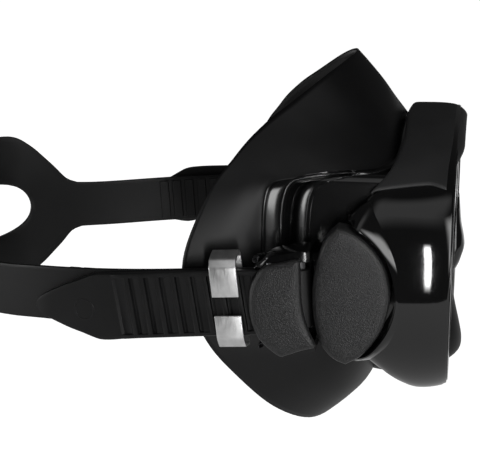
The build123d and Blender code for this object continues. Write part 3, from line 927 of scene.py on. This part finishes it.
def make_tail(lie):
    """One free end, drawn on the left: grip ribs between side rails, step and tapered tab."""
    profile = tail_heights()
    keys, heights = columns(profile)
    spots = [0.0, 3.0] + keys + list(np.linspace(61.5, 84, 16)) + [85.2, 86.2, 87.0, 87.5, 87.8, TAIL_LONG]
    grid = []
    for s in spots:
        lean = LEAN * min(1.0, s / 8, max(0.0, (66 - s) / 6))
        wide = table(TAIL_HALF, s)
        rail = RIB_H * min(1.0, max(0.0, (s - 4) / 8)) if s < 58.6 else TAB_H
        if s > 82:
            rail = TAB_H - 0.5 * ((s - 82) / 6) ** 2
        inside = float(np.interp(s, keys, heights)) if s < 60 else rail
        edge = min(1.5, wide * 0.5)
        loop = [
            (wide - 0.3, -0.8), (wide, -0.45), (wide, rail + 0.3), (wide - 0.35, rail + 0.8),
            (wide - edge, rail + 0.8), (wide - edge - 0.2, inside + 0.8), (0.0, inside + 0.8),
            (-wide + edge, inside + 0.8), (-wide + edge - 0.2, rail + 0.8),
            (-wide + 0.35, rail + 0.8), (-wide, rail + 0.3), (-wide, -0.45), (-wide + 0.3, -0.8),
        ]
        mid = table(lie, s)
        row = []
        for w, out in loop:
            x, y, nx, ny = tail_plan(s + lean * w)
            row.append((x + nx * out, y + ny * out, mid + w))
        grid.append(row)
    tail = fix_normals(grid_object("tail", grid, closed_v=True, caps=True))
    return sharpen(bake(round_edges(tail, 0.12, 38)), 28)


def make_emblem(lie):
    """A plain raised ring on the left tail's tab."""
    s0, w0, radius = EMBLEM
    grid = []
    for k in range(48):
        a = 2 * math.pi * k / 48
        ring = []
        for j in range(8):
            b = 2 * math.pi * j / 8
            r = radius + 0.28 * math.cos(b)
            x, y, nx, ny = tail_plan(s0 + r * math.sin(a))
            out = 0.8 + TAB_H + 0.12 * math.sin(b)
            ring.append((x + nx * out, y + ny * out, table(lie, s0) + w0 + r * math.cos(a)))
        grid.append(ring)
    return fix_normals(grid_object("emblem", grid, closed_u=True, closed_v=True))


def make_bend():
    """The strap's turn round the left roller."""
    grid = []
    for k in range(17):
        a = math.pi + math.pi * k / 16
        nx, ny = math.cos(a), math.sin(a)
        wide = 9.0 + 0.4 * k / 16
        ring = []
        for w, out in ((wide - 0.3, -0.8), (wide, -0.5), (wide, 0.5), (wide - 0.3, 0.8), (0, 0.8),
                       (-wide + 0.3, 0.8), (-wide, 0.5), (-wide, -0.5), (-wide + 0.3, -0.8), (0, -0.8)):
            r = BEND_R + out
            ring.append((ROLLER[0] + r * nx, ROLLER[1] + r * ny, 0.3 + w))
        grid.append(ring)
    return fix_normals(grid_object("bend", grid, closed_v=True, caps=True))


# How each tail's middle rises or falls along its length: the right one, near the camera, and the left one.
NEAR_LIE = [(0, 0.0), (16, -0.2), (32, -0.55), (48, -1.3), (58, -1.9), (66, -2.4), (88, -2.6)]
FAR_LIE = [(0, 0.2), (16, 0.8), (32, 1.6), (48, 2.3), (60, 2.4), (70, 1.0), (88, -1.0)]


def make_strap():
    """The whole moulding. The tails are drawn on the left, and the right one is then mirrored."""
    bend = make_bend()
    near = join([make_tail(NEAR_LIE), make_emblem(NEAR_LIE)], "tail_near")
    near_twin = mirrored_copy(near, "tail_right")
    bpy.data.objects.remove(near)
    far = join([make_tail(FAR_LIE), make_emblem(FAR_LIE)], "tail_left")
    ribs = make_run_ribs()
    parts = [make_band(), bend, mirrored_copy(bend, "bend_right"), ribs, mirrored_copy(ribs, "ribs_right"),
             near_twin, far]
    return drooped(sharpen(join(parts, "head_strap"), 30))


place(make_strap(), STRAP_SILICONE, "buckle_right", "strap_silicone", "strap")


# ---------------------------------------------------------------- swivel covers, levers and keepers

COVER = [    # (y, z) round the cover, strap level
    (-52.0, 22.6), (-48.5, 19.3), (-46.1, 14.7), (-44.3, 8.4), (-43.4, 2.0), (-43.3, -4.2), (-44.1, -10.7),
    (-46.0, -15.6), (-48.9, -18.9), (-52.5, -20.7), (-57.2, -18.2), (-61.3, -14.0), (-64.6, -8.6),
    (-66.8, -1.3), (-66.8, 5.0), (-65.3, 11.0), (-62.2, 16.1), (-58.2, 20.0), (-54.9, 21.9),
]
COVER_TIPS = (0, 9)          # the numbers of the points that stay sharp
LEVER = [    # (y, z) round the lever, strap level
    (-29.9, 12.1), (-35.1, 13.1), (-39.6, 14.0), (-40.9, 13.4), (-40.7, 8.2), (-40.5, 1.9), (-41.0, -3.8),
    (-42.3, -8.6), (-43.8, -12.6), (-43.6, -13.9), (-39.5, -14.8), (-34.8, -16.3), (-32.9, -16.5),
    (-29.7, -14.0), (-26.8, -10.7), (-25.0, -5.9), (-24.4, -0.5), (-25.1, 5.2), (-26.9, 9.0),
]
LEVER_CORNERS = (3, 9)


def inset(outline, by):
    """A closed outline moved inward, square to itself."""
    pts = np.asarray(outline, float)
    ahead = np.roll(pts, -1, axis=0) - np.roll(pts, 1, axis=0)
    normal = np.stack([ahead[:, 1], -ahead[:, 0]], axis=1)
    normal /= np.linalg.norm(normal, axis=1)[:, None]
    middle = pts.mean(axis=0)
    if ((pts - middle) * normal).sum() < 0:
        normal = -normal
    return pts - normal * by


def button(name, outline, levels, dome):
    """A solid with a rounded outer edge and a slightly domed face: levels are (inset, x)."""
    rings = []
    for by, x in levels:
        rings.append([(x, y, z) for y, z in inset(outline, by)])
    last = inset(outline, levels[-1][0])
    middle = last.mean(axis=0)
    for keep in (0.85, 0.65, 0.4, 0.15):
        x = levels[-1][1] + dome * (1 - keep ** 2)
        rings.append([(x, *(middle + (p - middle) * keep)) for p in last])
    return fix_normals(grid_object(name, rings, closed_v=True, caps=True))


def corner_outline(points, sharp, steps=6):
    """A closed outline that is smooth except at the numbered points."""
    out = []
    marks = sorted(sharp)
    for a, b in zip(marks, marks[1:] + [marks[0] + len(points)]):
        run = [points[i % len(points)] for i in range(a, b + 1)]
        out += list(spline(run, steps)[:-1])
    return np.array(out)


def make_cover():
    """The left swivel cover, a pointed oval."""
    outline = corner_outline(COVER, COVER_TIPS)
    solid = button("cover", outline, [(1.6, 64.7), (0.0, 64.7), (0.0, 71.3), (0.18, 71.9), (0.55, 72.3),
                                      (0.75, 72.35), (0.95, 72.55), (1.5, 72.7)], 0.3)
    return drooped(sharpen(solid, 30))


def make_lever():
    """The left release lever."""
    outline = corner_outline(LEVER, LEVER_CORNERS)
    solid = button("lever", outline, [(1.4, 74.2), (0.0, 74.2), (0.0, 75.5), (0.2, 76.05), (0.6, 76.4),
                                      (0.8, 76.45), (1.0, 76.62), (1.6, 76.75)], 0.15)
    return drooped(sharpen(solid, 30))


KEEPER_PROFILE = [   # (x, z) along the middle of the sheet, from the slot's upper edge to its lower
    (74.7, 2.4), (74.7, 11.6), (72.8, 13.6), (66.6, 14.8), (64.5, 13.0), (64.5, -12.8), (66.6, -15.2),
    (72.8, -13.9), (74.7, -11.0), (74.7, -3.6),
]
KEEPER_LEAN = 0.045      # how far it leans along the strap per unit of height
KEEPER_ENDS = (-21.6, -13.2)
KEEPER_SHEET = 0.9


def make_keeper():
    """The folded sheet clip on the left."""
    pts = []
    for i, (x, z) in enumerate(KEEPER_PROFILE):
        if i in (0, len(KEEPER_PROFILE) - 1):
            pts.append((x, z))
            continue
        here = np.array([x, z])
        for other in (KEEPER_PROFILE[i - 1], KEEPER_PROFILE[i + 1]):
            step = np.array(other) - here
            step = step / np.linalg.norm(step)
            pts.append(tuple(here + step * 0.55))
        pts.insert(-1, tuple(here * 0.7 + (np.array(pts[-1]) + np.array(pts[-2])) * 0.15))
    mid = np.array(pts)
    ahead = np.gradient(mid, axis=0)
    normal = np.stack([ahead[:, 1], -ahead[:, 0]], axis=1)
    normal /= np.linalg.norm(normal, axis=1)[:, None]
    around = list(mid + normal * KEEPER_SHEET / 2) + list((mid - normal * KEEPER_SHEET / 2)[::-1])
    rings = [[(x, y + KEEPER_LEAN * z, z) for x, z in around] for y in KEEPER_ENDS]
    clip = fix_normals(grid_object("clip", rings, closed_v=True, caps=True))
    round_edges(clip, 0.22, 50, 3)
    return drooped(sharpen(bake(clip), 30))


# The outer edge of the buckle's upper cheek, as (y, z).
CHEEK = [(-26.0, 10.6), (-29.1, 13.0), (-31.7, 14.5), (-36.3, 15.4), (-40.9, 16.1), (-43.6, 16.0)]


def make_body():
    """The left buckle's base plate and the two cheeks that carry the roller and the lever."""
    outline = corner_outline(COVER, COVER_TIPS)
    base = button("base", outline, [(1.2, 62.8), (1.0, 62.8), (1.0, 64.5), (1.3, 64.6)], 0.0)
    bed = plate_object("bed", [(62.8, -12.9), (64.6, -12.9), (64.6, 12.9), (62.8, 12.9)], -54.0, -26.0)
    cheeks = []
    for up in (1, -1):
        top = spline(CHEEK, 4)
        rings = []
        for y, z in top:
            high = 70.6 + 3.4 * max(0.0, 1 - ((y + 36.5) / 10.8) ** 4)
            inner = min(12.7, z - 1.2)
            rings.append([(x, y, up * w) for x, w in ((62.8, inner), (high, inner), (high, z - 0.5),
                                                      (high - 0.15, z - 0.15), (high - 0.5, z), (62.8, z))])
        cheeks.append(fix_normals(grid_object("cheek", rings, closed_v=True, caps=True)))
    return drooped(sharpen(join([base, bed, *cheeks], "body"), 30))


cover, lever, keeper, body = make_cover(), make_lever(), make_keeper(), make_body()
for side in SIDES:
    own = {"cover": cover, "lever": lever, "keeper": keeper, "body": body}
    if side == "right":
        own = {key: mirrored_copy(obj, key + "_right") for key, obj in own.items()}
    place(own["body"], BUCKLE, "buckle_" + side, "buckle_black", "buckle_body_" + side)
    place(own["cover"], TEXTURED, "buckle_" + side, "textured_black", "swivel_cover_" + side)
    place(own["lever"], TEXTURED, "lever_" + side, "textured_black", "release_lever_" + side)
    place(own["keeper"], KEEPER, "keeper_" + side, "keeper_satin", "strap_keeper_" + side)


# ---------------------------------------------------------------- stage, light and camera

CAMERA_AZIMUTH, CAMERA_ELEVATION = math.radians(280.0), math.radians(15.5)
CAMERA_TARGET, CAMERA_DISTANCE = Vector((0, -8.5, -1.4)) * MM, 0.483
FLOOR_GAP, FLOOR_NEAR_X, FLOOR_FAR_X, FLOOR_HALF_Y = 0.012, -0.26, 2.0, 1.4   # metres
FLOOR_GLOW, WORLD_GLOW = 0.45, 0.04      # what reflections see of the floor and the world


def look_at(obj, point):
    """Turns a light or a camera towards a point."""
    obj.rotation_euler = (Vector(point) - obj.location).to_track_quat("-Z", "Y").to_euler()


def softbox(name, direction, distance, size, radiance, soft=0.6):
    """A rectangular light whose brightness fades towards its edges; sizes and distances in metres."""
    data = bpy.data.lights.new(name, "AREA")
    data.shape = "RECTANGLE"
    data.size, data.size_y = size
    data.energy = radiance * math.pi * size[0] * size[1]
    data.use_nodes = True
    nodes, links = data.node_tree.nodes, data.node_tree.links
    spot = nodes.new("ShaderNodeNewGeometry")
    split = nodes.new("ShaderNodeSeparateXYZ")
    links.new(spot.outputs["Parametric"], split.inputs["Vector"])
    product = nodes.new("ShaderNodeMath")
    product.operation = "MULTIPLY"
    for k in range(2):
        off = nodes.new("ShaderNodeMath")
        off.operation = "SUBTRACT"
        off.inputs[1].default_value = 0.5
        links.new(split.outputs[k], off.inputs[0])
        size_of = nodes.new("ShaderNodeMath")
        size_of.operation = "ABSOLUTE"
        links.new(off.outputs[0], size_of.inputs[0])
        fade = nodes.new("ShaderNodeMapRange")
        fade.interpolation_type = "SMOOTHSTEP"
        fade.inputs["From Min"].default_value = 0.5
        fade.inputs["From Max"].default_value = 0.5 - 0.5 * soft
        links.new(size_of.outputs[0], fade.inputs["Value"])
        links.new(fade.outputs["Result"], product.inputs[k])
    links.new(product.outputs[0], nodes["Emission"].inputs["Strength"])
    obj = bpy.data.objects.new(name, data)
    obj.location = Vector(direction).normalized() * distance
    bpy.context.scene.collection.objects.link(obj)
    look_at(obj, (0, -0.04, 0))
    return obj


def seen_white(nodes, links, other, strength):
    """A strength that is full for the camera and lower in reflections."""
    path = nodes.new("ShaderNodeLightPath")
    level = nodes.new("ShaderNodeMapRange")
    level.inputs["To Min"].default_value = other
    level.inputs["To Max"].default_value = 1.0
    links.new(path.outputs["Is Camera Ray"], level.inputs["Value"])
    links.new(level.outputs["Result"], strength)


def make_stage():
    """A pale floor just under the mask that glows like a light table."""
    mesh = bpy.data.meshes.new("floor")
    mesh.from_pydata([(x, y, 0) for x, y in ((FLOOR_NEAR_X, -FLOOR_HALF_Y), (FLOOR_FAR_X, -FLOOR_HALF_Y),
                                             (FLOOR_FAR_X, FLOOR_HALF_Y), (FLOOR_NEAR_X, FLOOR_HALF_Y))],
                     [], [(0, 1, 2, 3)])
    floor = bpy.data.objects.new("floor", mesh)
    floor.location.z = CAD_BOX[0][2] - FLOOR_GAP
    bpy.context.scene.collection.objects.link(floor)
    mat = material("floor", (0.4, 0.4, 0.4), 0.8)
    shader(mat, "Emission Color").default_value = (1, 1, 1, 1)
    seen_white(mat.node_tree.nodes, mat.node_tree.links, FLOOR_GLOW, shader(mat, "Emission Strength"))
    dress(floor, mat)


def make_world():
    """A dark studio that the camera sees as plain white."""
    world = bpy.data.worlds.new("studio")
    world.use_nodes = True
    nodes, links = world.node_tree.nodes, world.node_tree.links
    nodes["Background"].inputs["Color"].default_value = (1, 1, 1, 1)
    seen_white(nodes, links, WORLD_GLOW, nodes["Background"].inputs["Strength"])
    bpy.context.scene.world = world


def make_camera():
    """A long lens at the wearer's right, a little to the front and above."""
    level = math.cos(CAMERA_ELEVATION)
    back = Vector((math.sin(CAMERA_AZIMUTH) * level, -math.cos(CAMERA_AZIMUTH) * level,
                   math.sin(CAMERA_ELEVATION)))
    data = bpy.data.cameras.new("camera")
    data.sensor_width = 36.0
    data.lens = 100.9
    data.clip_start = 0.01
    cam = bpy.data.objects.new("camera", data)
    cam.location = CAMERA_TARGET + back * CAMERA_DISTANCE
    bpy.context.scene.collection.objects.link(cam)
    look_at(cam, CAMERA_TARGET)
    bpy.context.scene.camera = cam


make_stage()
make_world()
make_camera()
softbox("top", (-0.5, 0.0, 0.9), 0.9, (1.2, 1.2), 0.65)
softbox("front", (-0.66, -0.66, 0.28), 0.8, (0.42, 0.75), 6.0)
softbox("strip", (-0.96, -0.275, 0.03), 0.75, (0.036, 0.42), 75.0, 0.5)
softbox("rear", (-0.45, 0.85, 0.05), 0.9, (0.35, 0.6), 8.0)
bpy.context.scene.view_settings.view_transform = "Standard"
